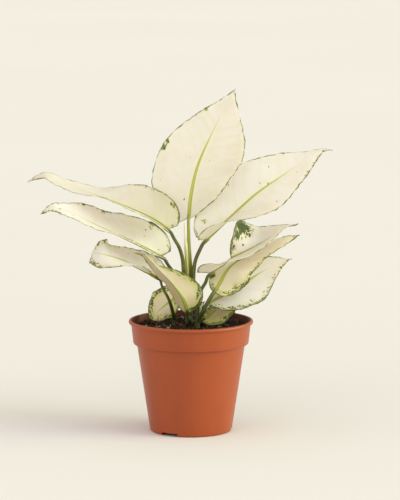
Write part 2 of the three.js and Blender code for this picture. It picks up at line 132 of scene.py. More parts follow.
class Half(NamedTuple):
    """One half of a blade, left or right as seen along the midrib from above."""

    width: float  # greatest width
    widest: float  # place of that width along the midrib
    full: float  # how full the base is: less is fuller
    lobe: float  # how far the base lobe hangs back
    fold: tuple  # degrees that the half is lifted, at five places from base to tip
    begin: float = 0  # where the half begins along the midrib


class Leaf(NamedTuple):
    """A leaf: its blade and its stalk."""

    midrib: list  # points from the stalk to the tip
    faces: list  # the way that the upper face looks at the base and at the tip
    left: Half
    right: Half
    wave: float  # height of the waves of the margin
    stalk: list  # points from below the neck to the cane
    stalk_radii: tuple = (0.00145, 0.00195)  # at the blade and at the cane
    waves: float = 3  # number of waves
    tip: float = 1.25  # how the blade narrows: more is sharper


class Marks(NamedTuple):
    """The colours and the green marks of a blade."""

    left: tuple  # how green the left margin is, at five places from base to tip
    right: tuple  # the same for the right margin
    reach: float  # how far in from the margin the green comes
    glow: float  # yellow-green towards the base
    patches: list = ()  # (place along, across from -1 left to 1 right, radius, strength)
    # Painted shade: tan mixed into the lower leaves that lie in the others' shadow.
    tan: float = 0  # shares of other colours that are mixed in
    # Painted shade: grey-green mixed into the brightly lit upper leaves.
    shade_grey: float = 0
    # Painted shade and a painted brown reflection from the soil: olive-brown on a low leaf in shadow.
    olive: float = 0
    halo: float = 0.25  # yellow-green round the marks


LEAVES = {
    "top": Leaf(
        midrib=[(-.002, .009, .205), (0, .018, .226), (.007, .029, .255), (.022, .037, .288),
                (.035, .041, .313), (.043, .041, .328)],
        faces=[(.05, -1, .25), (.1, -1, .3)], wave=.0015,
        left=Half(.041, .32, .55, .006, (-12, -10, 4, 4, 6)),
        right=Half(.042, .52, .75, .002, (35, 22, 28, 24, 7)),
        stalk=[(-.002, .004, .185), (-.001, .003, .168), (0, .002, .15), (-.001, .001, .135)]),
    "upper_right": Leaf(
        midrib=[(.014, .002, .184), (.031, .01, .199), (.062, .025, .226), (.093, .039, .246),
                (.124, .05, .266), (.138, .054, .266)],
        faces=[(-.3, -.6, .6)] * 2, wave=.0012, stalk_radii=(.0018, .0021),
        left=Half(.035, .42, .45, .005, (30, 25, 21, 18, -35)),
        right=Half(.034, .38, .45, .008, (95, 58, 11, 2, 0)),
        stalk=[(.009, .001, .177), (.005, 0, .168), (.003, -.001, .159), (.002, -.002, .143),
               (0, -.001, .129)]),
    "upper_left": Leaf(
        midrib=[(-.022, -.008, .196), (-.037, -.004, .206), (-.07, .006, .22), (-.098, .014, .23),
                (-.124, .02, .24), (-.141, .022, .247), (-.158, .022, .239)],
        faces=[(0, -.1, 1)] * 2, wave=.001, stalk_radii=(.0016, .0022),
        left=Half(.033, .46, .6, .008, (19, 18, 19, 6, -27)),
        right=Half(.032, .26, .5, .007, (76, 54, 28, -4, 15)),
        stalk=[(-.016, -.008, .188), (-.011, -.007, .179), (-.008, -.005, .168), (-.007, -.004, .157),
               (-.006, -.003, .143), (-.003, 0, .127)]),
    "middle_left": Leaf(
        midrib=[(-.028, -.003, .169), (-.043, -.008, .178), (-.065, -.015, .19), (-.087, -.02, .201),
                (-.111, -.024, .214), (-.13, -.026, .221), (-.143, -.027, .214)],
        faces=[(0, -.1, 1)] * 2, wave=.001, stalk_radii=(.0016, .002),
        left=Half(.033, .42, .6, .008, (9, 3, 9, 1, -30)),
        right=Half(.033, .34, .45, .008, (62, 60, 30, 26, 29)),
        stalk=[(-.022, -.002, .162), (-.016, 0, .153), (-.011, .001, .142), (-.003, .001, .125)]),
    "lower_left": Leaf(
        midrib=[(-.032, -.013, .15), (-.049, -.023, .161), (-.066, -.033, .171), (-.082, -.039, .177),
                (-.091, -.035, .178), (-.094, -.024, .176), (-.094, -.012, .174)],
        faces=[(.1, -.6, .9), (-1, -.2, .3)], wave=.0008, stalk_radii=(.0012, .0017),
        left=Half(.022, .34, 1, .002, (60, 52, 34, -3, 5), begin=.08),
        right=Half(.024, .36, .5, .011, (43, 37, 6, 6, 2)),
        stalk=[(-.027, -.014, .141), (-.022, -.014, .132), (-.019, -.011, .123), (-.016, -.004, .109)]),
    "front": Leaf(
        midrib=[(-.003, -.014, .117), (-.008, -.025, .133), (-.018, -.036, .149), (-.031, -.043, .164),
                (-.043, -.043, .177), (-.054, -.04, .179)],
        faces=[(.1, -1, .3), (.1, -.7, .6)], wave=.0008,
        left=Half(.012, .38, .6, .003, (-24, -45, -80, -75, -20)),
        right=Half(.027, .4, .5, .004, (-8, -8, -45, -60, -50)),
        stalk=[(-.001, -.012, .11), (-.001, -.007, .107), (-.002, 0, .106)]),
    "low_left": Leaf(
        midrib=[(-.013, .017, .128), (-.022, .021, .121), (-.032, .023, .112), (-.04, .024, .105)],
        faces=[(-.4, -.7, .6)] * 2, wave=.0008, waves=2, tip=.7,
        left=Half(.019, .48, .42, .007, (5, 5, 5, 15, 10)),
        right=Half(.021, .5, .42, .005, (10, 10, 0, 5, 10)),
        stalk=[(-.006, .011, .123), (-.003, .005, .114), (-.002, .001, .106)]),
    "right_patch": Leaf(
        midrib=[(.019, -.004, .153), (.029, -.002, .16), (.038, 0, .167), (.057, .004, .176),
                (.074, .009, .185), (.09, .014, .196), (.104, .017, .199)],
        faces=[(0, -.2, 1), (0, -.3, 1)], wave=.0012, waves=2.5, stalk_radii=(.0016, .002),
        left=Half(.031, .46, .6, 0, (20, 50, 80, 10, -30), begin=.25),
        right=Half(.026, .28, .45, .012, (100, 48, 12, 22, 5)),
        stalk=[(.014, -.005, .145), (.01, -.006, .138), (.007, -.007, .126), (.006, -.008, .115),
               (.006, -.009, .107)]),
    "right_middle": Leaf(
        midrib=[(.022, -.014, .137), (.027, -.01, .144), (.034, -.004, .156), (.043, .001, .164),
                (.059, .006, .171), (.076, .009, .178), (.093, .011, .185), (.105, .012, .189)],
        faces=[(0, -.4, 1)] * 2, wave=.0012, waves=2.5, stalk_radii=(.0019, .0022),
        left=Half(.024, .46, .75, .004, (-8, -12, -30, -20, 0)),
        right=Half(.026, .44, .5, .003, (-5, -25, -12, 14, -20)),
        stalk=[(.016, -.015, .127), (.011, -.014, .117), (.006, -.009, .106)]),
    "right_low": Leaf(
        midrib=[(.015, -.009, .124), (.022, -.007, .128), (.034, -.003, .134), (.051, .004, .143),
                (.069, .012, .153), (.086, .018, .161), (.098, .021, .164)],
        faces=[(0, -.4, 1)] * 2, wave=.0008, stalk_radii=(.0012, .0018),
        left=Half(.024, .5, .9, 0, (0, 0, 5, 20, 20)),
        right=Half(.026, .42, .65, .002, (5, -12, -25, -20, 5)),
        stalk=[(.011, -.009, .117), (.006, -.009, .107)]),
    "right_front": Leaf(
        midrib=[(.01, -.005, .108), (.017, -.003, .112), (.024, 0, .118), (.034, .006, .126),
                (.044, .013, .132)],
        faces=[(0, -.5, 1)] * 2, wave=.0008, waves=2,
        left=Half(.008, .42, .6, .002, (30, 35, 10, 5, 0)),
        right=Half(.017, .52, .6, .002, (-10, -12, -15, -10, -3)),
        stalk=[(.004, -.009, .105)]),
    "small_middle": Leaf(
        midrib=[(.007, .008, .108), (.008, .008, .115), (.01, .007, .121), (.013, .006, .125)],
        faces=[(0, -1, .4)] * 2, wave=.0002, waves=2, stalk_radii=(.0009, .001),
        left=Half(.005, .4, .6, .001, (20, 20, 20, 16, 10)),
        right=Half(.005, .4, .6, .001, (20, 20, 20, 18, 10)),
        stalk=[(.003, .004, .106), (-.002, .001, .106)]),
}

MARKS = {
    "top": Marks(
        left=(.2, .1, .1, .2, .05), right=(.35, .4, .3, .3, .1), reach=.002, glow=.12, shade_grey=.34,
        patches=[(.43, -.98, .0032, 1), (.47, -.97, .0025, .9), (.77, -.9, .0025, .6),
                 (.79, .97, .0028, .6)]),
    "upper_right": Marks(
        left=(.5, .3, .3, .2, .2), right=(.4, .35, .35, .5, .4), reach=.0022, glow=.12, shade_grey=.2,
        patches=[(.09, -.63, .003, .6), (.36, -.76, .002, .6), (.77, .95, .0025, .7)]),
    "upper_left": Marks(
        left=(.2, .2, .2, .3, .5), right=(.6, .5, .3, .4, .3), reach=.0028, glow=.28, shade_grey=.31,
        patches=[(.72, .75, .003, .8), (.09, .96, .0035, .6)]),
    "middle_left": Marks(
        left=(.4, .3, .2, .4, .3), right=(.6, .5, .4, .45, .3), reach=.0032, glow=.2,
        patches=[(.52, .94, .0035, .8), (.17, .79, .003, .5)]),
    "lower_left": Marks(
        left=(.3, .3, .3, .6, 1), right=(.3, .3, .45, .7, 1), reach=.0048, glow=.2, halo=.5,
        patches=[(.03, .2, .003, .8)]),
    "front": Marks(
        left=(.2, .2, .2, .2, .2), right=(.8, .8, .7, .4, .3), reach=.0055, glow=.25, tan=.65,
        halo=.7),
    "low_left": Marks(
        left=(.85, .85, .8, .75, .6), right=(.7, .8, .8, .8, .6), reach=.006, glow=.2, tan=.45,
        halo=.7),
    "right_patch": Marks(
        left=(.5, .85, .9, .55, .3), right=(.3, .25, .2, .3, .3), reach=.0026, glow=.12,
        patches=[(.5, -.78, .009, 1.15), (.4, -.75, .0065, .9), (.3, -.72, .0045, .75)]),
    "right_middle": Marks(
        left=(.6, .45, .3, .3, .4), right=(.65, .7, .6, .4, .35), reach=.0042, glow=.25, tan=.3,
        halo=.5, patches=[(.15, .75, .005, .55), (.17, -.8, .003, .8)]),
    "right_low": Marks(
        left=(.4, .3, .2, .25, .3), right=(.6, .65, .62, .45, .35), reach=.005, glow=.1),
    "right_front": Marks(
        left=(.75, .75, .7, .6, .5), right=(.85, .85, .9, .75, .6), reach=.0045, glow=.4,
        halo=.55, olive=.95),
    "small_middle": Marks(
        left=(.9, .9, .8, .6, .5), right=(.4, .4, .3, .3, .3), reach=.003, glow=.3),
}

# Heights between which the stalks turn dark, and how pale some of them are.
STALK_DARK = (0.112, 0.142)
STALK_PALE = {"top": .75, "small_middle": .4, "right_middle": .1}

# Pot: body, rim band and rolled lip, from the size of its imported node. Angles are in degrees.
POT_SIDES = 180
POT_LONGEST_ROW = 0.006
POT_SHARP_ANGLE = 35
POT_FOOT_RADIUS = 0.0394
POT_STEP_RADIUS = 0.0523
POT_STEP_HEIGHT = 0.0854
POT_BAND_LOW_RADIUS = 0.0556
POT_BAND_TOP_RADIUS = 0.0578
POT_MOUTH_RADIUS = 0.0566
POT_LIP_HEIGHT = 0.003
POT_WALL = 0.0019
POT_FLOOR = 0.0054
FOOT_CENTRE_RADIUS = 0.02
FOOT_RING_RADIUS = 0.0335
FOOT_RECESS = 0.0032
FOOT_DRAFT = 0.0006
DRAIN_CUT = 0.008
DRAIN_HOLES = 6
DRAIN_HOLE_RADIUS = 0.004
DRAIN_SLOTS = 3
DRAIN_SLOT_SIZE = (0.018, 0.012)
DRAIN_SLOT_TURN = 328

# Soil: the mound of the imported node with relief, crumbs, and root fibres. A pair of a fibre is the
# least value and what a draw adds to it at most.
SOIL_EDGE_HEIGHT = 0.1012
SOIL_MOUND = 0.0016
SOIL_MOUND_BACK = 0.005
SOIL_RADIUS = 0.0549
SOIL_STEP_RADII = (0.053, 0.0499)
SOIL_STEP_HEIGHT = 0.0881
SOIL_FOOT_RADIUS = 0.0371
SOIL_RINGS = 100
SOIL_SIDES = 260
SOIL_RELIEF = 0.0014
SOIL_CLODS = 110
SOIL_GRAINS = 420
MOSS_FROM_CANE = (0.008, 0.024)
CRUMBS = 900
CRUMB_RADII = (0.0006, 0.0026)
PALE_CRUMBS = 0.13
FIBRES = 130
FIBRE_MARGIN = 0.008
FIBRE_LENGTH = (0.003, 0.008)
FIBRE_RADIUS = (0.00012, 0.00022)
FIBRE_ARCH = (0.0006, 0.0016)
FIBRE_LIFT = 0.0004
SEED = 9


def srgb(text):
    """Linear colour with alpha from a hexadecimal sRGB colour."""
    parts = [int(text[i:i + 2], 16) / 255 for i in (0, 2, 4)]
    return (*[c / 12.92 if c <= 0.04045 else ((c + 0.055) / 1.055) ** 2.4 for c in parts], 1)


class Curve:
    """A smooth curve through points (Catmull-Rom), read by its share of length."""

    def __init__(self, points, samples=600):
        p = np.asarray(points, float)
        ext = np.vstack([2 * p[0] - p[1], p, 2 * p[-1] - p[-2]])
        place = np.linspace(0, len(p) - 1, samples)
        i = np.minimum(place.astype(int), len(p) - 2)
        self.points = catmull(ext[i], ext[i + 1], ext[i + 2], ext[i + 3], (place - i)[:, None])
        steps = np.linalg.norm(np.diff(self.points, axis=0), axis=1)
        self.reach = np.concatenate([[0], np.cumsum(steps)])
        self.length = self.reach[-1]

    def at(self, u):
        q = np.asarray(u, float) * self.length
        return np.stack([np.interp(q, self.reach, self.points[:, k]) for k in range(3)], -1)

    def tangent(self, u):
        near = 0.004
        ahead = self.at(np.clip(np.asarray(u) + near, 0, 1))
        behind = self.at(np.clip(np.asarray(u) - near, 0, 1))
        return unit(ahead - behind)


def catmull(p0, p1, p2, p3, w):
    t0 = (p2 - p0) / 2
    t1 = (p3 - p1) / 2
    return p1 + t0 * w + (3 * (p2 - p1) - 2 * t0 - t1) * w**2 + (2 * (p1 - p2) + t0 + t1) * w**3


def unit(v):
    return v / np.maximum(np.linalg.norm(v, axis=-1, keepdims=True), 1e-12)


def smooth(value, low, high):
    t = np.clip((value - low) / (high - low), 0, 1)
    return t * t * (3 - 2 * t)


def five_places(values, u, bunch=1.0):
    """A smooth curve through values at equal places from base to tip, or bunched at the base."""
    v = np.asarray(values, float)
    spans = len(v) - 1
    place = np.clip(u, 0, 1) ** bunch * spans
    i = np.minimum(place.astype(int), spans - 1)
    ext = np.concatenate([[2 * v[0] - v[1]], v, [2 * v[-1] - v[-2]]])
    return catmull(ext[i], ext[i + 1], ext[i + 2], ext[i + 3], place - i)


def half_width(half, tip, u):
    """Half-width of one half: it swells from the base to the widest place and narrows to the tip."""
    v = np.clip((u - half.begin) / (1 - half.begin), 0, 1)
    swell = np.sin(np.pi / 2 * np.minimum(v / half.widest, 1) ** half.full)
    taper = np.cos(np.pi / 2 * np.maximum((v - half.widest) / (1 - half.widest), 0)) ** tip
    least = BASE_HALF + (TIP_HALF - BASE_HALF) * u
    return np.maximum(half.width * np.where(v < half.widest, swell, taper), least)


def blade_grid(leaf):
    """Middle surface of a blade as rows of points from left margin to right margin, with the
    places u and s, the half-width, the point's place in the leaf laid flat and the length."""
    curve = Curve(leaf.midrib)
    rows = round(curve.length / ROW_LENGTH)
    t = np.linspace(0, 1, SIDE_COLUMNS + 1)
    side = t - COLUMN_CROWDING * np.sin(2 * np.pi * t)
    u = np.linspace(0, 1, rows + 1)[:, None]
    s = np.concatenate([-side[:0:-1], side])[None, :]

    def pick(left, right):
        return np.where(s < 0, left, right)

    halves = (leaf.left, leaf.right)
    reach = np.abs(s)
    centre = curve.at(u[:, 0])[:, None]
    along = curve.tangent(u[:, 0])[:, None]
    first, last = (np.asarray(face, float) for face in leaf.faces)
    face = (first + (last - first) * u)[:, None]
    face = unit(face - (face * along).sum(-1, keepdims=True) * along)
    across = np.cross(along, face) * pick(-1, 1)[..., None]
    width = pick(*(half_width(half, leaf.tip, u) for half in halves))
    fold = np.radians(pick(*(five_places(half.fold, u, FOLD_BUNCHING) for half in halves)))
    lobe = pick(*(half.lobe for half in halves))
    ripple = (leaf.wave * reach**2 * np.sqrt(np.sin(np.pi * u).clip(0, 1))
              * np.sin(2 * np.pi * leaf.waves * u + pick(*WAVE_START)))
    hang = np.clip((width - BASE_HALF) / LOBE_TAPER, 0, 1)
    back = lobe * reach**1.5 * (1 - u) ** 4 * hang
    points = (centre + across * (width * reach * np.cos(fold))[..., None]
              + face * (width * reach * np.sin(fold) + ripple)[..., None] - along * back[..., None])
    u, s = np.broadcast_arrays(u, s)
    flat = np.stack([s * width, u * curve.length - back], -1)
    return points, u, s, width, flat, curve.length


def grid_normals(points, face_hint):
    """Normals of a grid of points, on the side that the hint points to."""
    down = np.gradient(points, axis=0)
    over = np.gradient(points, axis=1)
    normal = unit(np.cross(over, down))
    flip = np.where((normal * face_hint).sum(-1).mean() < 0, -1, 1)
    return normal * flip


def rough_field(flat, size, seed):
    """Smooth random values from about -1 to 1, in bumps of one size over the flat leaf."""
    layer, gain = 7.31 * seed, 1.6
    values = [noise.noise((x, y, layer)) for x, y in flat.reshape(-1, 2) / size]
    return np.array(values).reshape(flat.shape[:2]) * gain


def two_fields(flat, sizes, seed):
    """Large bumps, and small ones half as strong."""
    return rough_field(flat, sizes[0], seed) + 0.5 * rough_field(flat, sizes[1], seed + 1)


def margin_distance(flat):
    """Distance of each point of the flat leaf from the leaf's outline."""
    outline = np.concatenate([flat[:, 0], flat[-1:, 0], flat[::-1, -1], flat[0, ::-1]])
    a, b = outline[:-1], outline[1:]
    line = b - a
    size = np.maximum((line**2).sum(-1), 1e-14)
    points = flat.reshape(-1, 2)
    nearest = np.full(len(points), 1.0)
    for start, step, length in zip(a, line, size):
        share = np.clip(((points - start) @ step) / length, 0, 1)
        gap = np.linalg.norm(points - start - share[:, None] * step, axis=1)
        nearest = np.minimum(nearest, gap)
    return nearest.reshape(flat.shape[:2])


def add_object(name, data):
    made = bpy.data.objects.new(name, data)
    bpy.context.scene.collection.objects.link(made)
    return made


def make_mesh(name, vertices, faces, attributes=(), sharp=50):
    """A mesh object with attributes of its points, each a name with a row of numbers or vectors.
    Its edges are smooth, but those that are sharper than an angle in degrees."""
    mesh = bpy.data.meshes.new(name)
    mesh.from_pydata(np.asarray(vertices).tolist(), [], [list(face) for face in faces])
    for key, values in dict(attributes).items():
        values = np.asarray(values, np.float32)
        kind, field = ("FLOAT_VECTOR", "vector") if values.ndim > 1 else ("FLOAT", "value")
        mesh.attributes.new(key, kind, "POINT").data.foreach_set(field, values.ravel())
    mesh.validate()
    mesh.update()
    mesh.shade_smooth()
    mesh.set_sharp_from_angle(angle=math.radians(sharp))
    return add_object(name, mesh)


def place_piece(piece, material, slot, *nodes):
    """Gives a piece its material, puts it under the frame's root body and hides the nodes that it
    replaces. The slot is not used.
    """
    piece.data.materials.append(material)
    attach(piece, "root")
    if nodes:
        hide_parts(*nodes)


def build_blade(name, leaf, seed):
    points, u, s, width, flat, length = blade_grid(leaf)
    marks = MARKS[name]
    hint = np.asarray(leaf.faces[0], float)
    up = grid_normals(points, hint)
    across = np.abs(s) * width
    margin = margin_distance(flat)
    # Side veins leave the midrib at nearly even steps and bend towards the tip.
    rise = VEIN_SLANT * across + VEIN_BEND * across**2
    side = np.where(s < 0, 0.5, 0)
    drift = rough_field(flat, DRIFT_SIZE, seed + 5)
    vein_place = (u * length - rise) / VEIN_SPACING + side + seed * VEIN_SHIFT + 0.5 * drift
    swell = 0.5 - 0.5 * np.cos(2 * np.pi * vein_place)
    vein = (1 - swell) ** 8 * smooth(across, *VEIN_FROM_RIB) * smooth(margin, *VEIN_FROM_MARGIN)
    # The leaf is quilted between the veins and rolls slightly; its hem is crinkled and ragged.
    body = (smooth(across, *RELIEF_FROM_RIB) * smooth(margin, *RELIEF_FROM_MARGIN)
            * smooth(1 - u, 0, 0.3))
    quilt = QUILT_HEIGHT * (swell**0.7 - 0.5) * body * (0.5 + drift)
    roll = ROLL_HEIGHT * rough_field(flat, ROLL_SIZE, seed) * body
    hem = (1 - smooth(margin, 0, HEM)) * smooth(u, 0.02, 0.15)
    crinkle = CRINKLE_HEIGHT * hem * two_fields(flat, CRINKLE_SIZES, seed + 1)
    outward = unit(np.gradient(points, axis=1)) * np.sign(s)[..., None]
    ragged = RAGGED_EDGE * hem**2 * np.abs(s) ** 4 * two_fields(flat, RAGGED_SIZES, seed + 3)
    points = points + up * (quilt + roll + crinkle)[..., None] + outward * ragged[..., None]
    up = grid_normals(points, hint)
    # The midrib is a channel above and a keel below.
    thick = MARGIN_THICKNESS + (BLADE_THICKNESS - MARGIN_THICKNESS) * smooth(margin, 0, 0.004)
    ridge = np.exp(-(across / KEEL_HALF) ** 2) * np.clip(1 - u / KEEL_END, 0, 1)
    upper = points + up * (thick / 2 - CHANNEL_DEPTH * ridge)[..., None]
    lower = points - up * (thick / 2 + KEEL_DEPTH * ridge + VEIN_HEIGHT * vein)[..., None]
    layer = seed + side
    grids = {
        "flat": np.stack([flat[..., 0], flat[..., 1], layer], -1),
        "streak": np.stack([vein_place * VEIN_SPACING, across - 0.3 * rise, layer], -1),
        "edge": np.stack([u * length, margin, layer], -1),
        "margin": margin,
        "rib": across,
        "along": u,
        "vein": vein,
        "mottle": mark_density(marks, u, s, margin, flat),
        "glow": marks.glow * (1 - smooth(u, 0.05, 0.6)),
    }
    attributes = {key: both_faces(values, values) for key, values in grids.items()}
    attributes["under"] = both_faces(np.zeros(u.shape), np.ones(u.shape))
    for tint in ("tan", "shade_grey", "olive", "halo"):
        attributes[tint] = np.full(2 * u.size, getattr(marks, tint))
    return make_mesh("leaf_" + name, both_faces(upper, lower), blade_faces(*u.shape), attributes)


def both_faces(upper, lower):
    """The values at the grid's points, in one row for the upper face and then the lower one."""
    return np.stack([upper, lower]).reshape(-1, *upper.shape[2:])


def blade_faces(rows, columns):
    """Quads of the upper and the lower face and of the rim that joins them."""
    index = np.arange(rows * columns).reshape(rows, columns)
    below = rows * columns
    a, b = index[:-1, :-1].ravel(), index[:-1, 1:].ravel()
    c, d = index[1:, 1:].ravel(), index[1:, :-1].ravel()
    edges = (index[:, -1], index[::-1, 0], index[0], index[-1, ::-1])
    rims = [np.stack([e[:-1], e[:-1] + below, e[1:] + below, e[1:]], 1) for e in edges]
    return np.concatenate([np.stack([a, b, c, d], 1), np.stack([d, c, b, a], 1) + below, *rims])


def mark_density(marks, u, s, margin, flat):
    """How green each point of a blade tends to be."""
    side = np.where(s < 0, five_places(marks.left, u), five_places(marks.right, u))
    density = side * np.exp(-(margin / marks.reach) ** 1.3)
    for along, over, radius, strength in marks.patches:
        gap = (u - along) ** 2 + (0.4 * (s - over)) ** 2
        centre = flat.reshape(-1, 2)[gap.argmin()]
        away = np.linalg.norm(flat - centre, axis=-1)
        density = np.maximum(density, strength * np.exp(-(away / radius) ** 2))
    return density


def ring_faces(rings, sides, first=0):
    """Quads between rings of points, which start at the first point."""
    index = first + np.arange(rings * sides).reshape(rings, sides)
    after = np.roll(index, -1, axis=1)
    return np.stack([index[:-1], after[:-1], after[1:], index[1:]], -1).reshape(-1, 4).tolist()


def build_stem(name, points, radii, sides, step, section, paint):
    """A closed tube along a curve. Section gives the factor of the radius and paint how pale the
    stem is, both from the place along it, the angle and its length."""
    curve = Curve(points)
    steps = max(8, round(curve.length / step))
    u = np.linspace(0, 1, steps + 1)
    centre, along = curve.at(u), curve.tangent(u)
    inward = GROOVE_SIDE - centre * [1, 1, 0]
    first = unit(inward - (inward * along).sum(-1, keepdims=True) * along)
    second = np.cross(along, first)
    turn = np.linspace(0, 2 * np.pi, sides, endpoint=False)
    base = np.interp(u, np.linspace(0, 1, len(radii)), radii)[:, None]
    u, angle = np.broadcast_arrays(u[:, None], turn)
    radius = base * section(u, angle, curve.length)
    ring = (centre[:, None] + (radius * np.cos(angle))[..., None] * first[:, None]
            + (radius * np.sin(angle))[..., None] * second[:, None])
    last = steps * sides
    ends = [list(range(sides - 1, -1, -1)), list(range(last, last + sides))]
    flat = np.stack([u * curve.length, np.cos(angle) * base, np.sin(angle) * base], -1)
    attributes = {
        "pale": paint(u, angle, curve.length).ravel(),
        "low": 1 - smooth(ring[..., 2], *STALK_DARK).ravel(),
        "flat": flat.reshape(-1, 3),
    }
    return make_mesh(name, ring.reshape(-1, 3), ring_faces(steps + 1, sides) + ends, attributes)


def stalk_section(u, angle, length):
    """A groove on the inner side and, low down, the two thin edges of the sheath."""
    inner = np.minimum(angle, 2 * np.pi - angle)
    groove = GROOVE_DEPTH * np.exp(-(inner / GROOVE_SPREAD) ** 2) * smooth(u, 0.02, 0.2)
    edge = np.exp(-((inner - SHEATH_TURN) / SHEATH_SPREAD) ** 2)
    return 1 - groove + SHEATH_HEIGHT * edge * smooth(u, 0.55, 0.85)


def stalk_paint(pale):
    """Pale beside the blade, and as pale as this from there to the middle of the stalk."""
    def paint(u, angle, length):
        return np.maximum(pale * (1 - 0.7 * smooth(u, 0.35, 0.9)), 0.5 * (1 - smooth(u, 0, 0.12)))
    return paint


def scars(u, angle, length):
    """Waves that peak at the leaf scars: rings round a cane, each a little out of level."""
    return np.cos(2 * np.pi * (u * length / SCAR_SPACING + SCAR_TILT * np.cos(angle)))


def cane_section(u, angle, length):
    """Leaf scars as raised rings."""
    ring = scars(u, angle, length)
    return 0.97 + 0.07 * smooth(ring, 0.75, 1) - 0.03 * smooth(-ring, 0.2, 1)


def cane_paint(u, angle, length):
    return 0.6 * smooth(scars(u, angle, length), 0.8, 1)


def rolled_section(u, angle, length):
    """The rolled blade: one edge lies over the other in a line that winds round."""
    turn = np.mod(angle / (2 * np.pi) + 0.25 * u, 1)
    return 0.86 + 0.2 * turn - 0.06 * smooth(turn, 0.93, 1)


def rolled_paint(u, angle, length):
    return smooth(u, 0.45, 0.8)


def stalk_points(leaf):
    """The stalk from inside the blade's midrib, down a straight neck to its cane."""
    midrib = Curve(leaf.midrib)
    start, along = midrib.at(0.0), midrib.tangent(0.0)
    return [*(start + along * reach for reach in STALK_NECK), *leaf.stalk]


class Graph:
    """Short calls for the nodes of one material."""

    def __init__(self, name):
        self.material = bpy.data.materials.new(name)
        self.material.use_nodes = True
        self.tree = self.material.node_tree
        self.shader = self.tree.nodes["Principled BSDF"]

    def node(self, kind, **settings):
        made = self.tree.nodes.new("ShaderNode" + kind)
        for key, value in settings.items():
            setattr(made, key, value)
        return made

    def feed(self, socket, value):
        """Links another node's output, or sets a value or a hexadecimal colour."""
        if isinstance(value, bpy.types.NodeSocket):
            self.tree.links.new(value, socket)
        else:
            socket.default_value = srgb(value) if isinstance(value, str) else value

    def fact(self, name):
        return self.node("Attribute", attribute_name=name).outputs["Fac"]

    def vector(self, name):
        return self.node("Attribute", attribute_name=name).outputs["Vector"]

    def objectwise(self):
        return self.node("TexCoord").outputs["Object"]

    def scaled(self, vector, factors):
        made = self.node("VectorMath", operation="MULTIPLY")
        self.feed(made.inputs[0], vector)
        made.inputs[1].default_value = factors
        return made.outputs["Vector"]

    def noise(self, vector, scale, detail, roughness, distortion=0.0):
        made = self.node("TexNoise")
        for key, value in (("Vector", vector), ("Scale", scale), ("Detail", detail),
                           ("Roughness", roughness), ("Distortion", distortion)):
            self.feed(made.inputs[key], value)
        return made.outputs["Fac"]

    def math(self, operation, a, b):
        made = self.node("Math", operation=operation)
        self.feed(made.inputs[0], a)
        self.feed(made.inputs[1], b)
        return made.outputs[0]

    def times(self, a, b):
        return self.math("MULTIPLY", a, b)

    def plus(self, a, b):
        return self.math("ADD", a, b)

    def smooth(self, value, low, high, start=0.0, end=1.0):
        made = self.node("MapRange", interpolation_type="SMOOTHSTEP")
        for key, item in (("Value", value), ("From Min", low), ("From Max", high),
                          ("To Min", start), ("To Max", end)):
            self.feed(made.inputs[key], item)
        return made.outputs["Result"]

    def mix(self, factor, a, b):
        """Mixes two colours, whose sockets on this node are 6, 7 and 2."""
        made = self.node("Mix", data_type="RGBA")
        for socket, value in ((0, factor), (6, a), (7, b)):
            self.feed(made.inputs[socket], value)
        return made.outputs[2]

    def bump(self, height, distance, strength, below=None):
        made = self.node("Bump")
        self.feed(made.inputs["Height"], height)
        made.inputs["Distance"].default_value = distance
        made.inputs["Strength"].default_value = strength
        if below is not None:
            self.feed(made.inputs["Normal"], below)
        return made.outputs["Normal"]

    def finish(self, colour, roughness, normal=None, **fixed):
        self.feed(self.shader.inputs["Base Color"], colour)
        self.feed(self.shader.inputs["Roughness"], roughness)
        if normal is not None:
            self.feed(self.shader.inputs["Normal"], normal)
        for key, value in fixed.items():
            self.shader.inputs[key.replace("_", " ")].default_value = value
        return self.material


def cream_colour(g, broad):
    """Cream, greener along the side veins and at the base, with painted shade mixed in: tan and
    olive-brown on leaves in shadow, grey-green on the brightly lit upper leaves.
    """
    streak = g.scaled(g.vector("streak"), (1, 0.35, 1))
    cream = g.mix(g.smooth(broad, 0.35, 0.65), "e1d8cf", "dccec2")
    cream = g.mix(g.times(g.fact("vein"), 0.22), cream, "cdcf98")
    tinge = g.noise(streak, 70, 3, 0.6)
    cream = g.mix(g.smooth(tinge, 0.5, 0.72, 0, 0.4), cream, "d6d7a4")
    cream = g.mix(g.smooth(g.fact("glow"), 0, 0.6, 0, 0.85), cream, "d6d07c")
    cream = g.mix(g.times(g.fact("under"), 0.25), cream, "d6cda6")
    # Painted shade: tan on the lower leaves that lie in the others' shadow.
    cream = g.mix(g.fact("tan"), cream, "b89467")
    # Painted shade: grey-green that tones down the brightly lit upper leaves.
    cream = g.mix(g.fact("shade_grey"), cream, "8a8c7c")
    # Painted shade with a painted brown reflection from the soil: olive-brown on the low leaf in the
    # others' shadow.
    olive = g.times(g.fact("olive"), g.smooth(broad, 0.3, 0.6, 1, 0.7))
    return g.mix(olive, cream, "8c6d04")


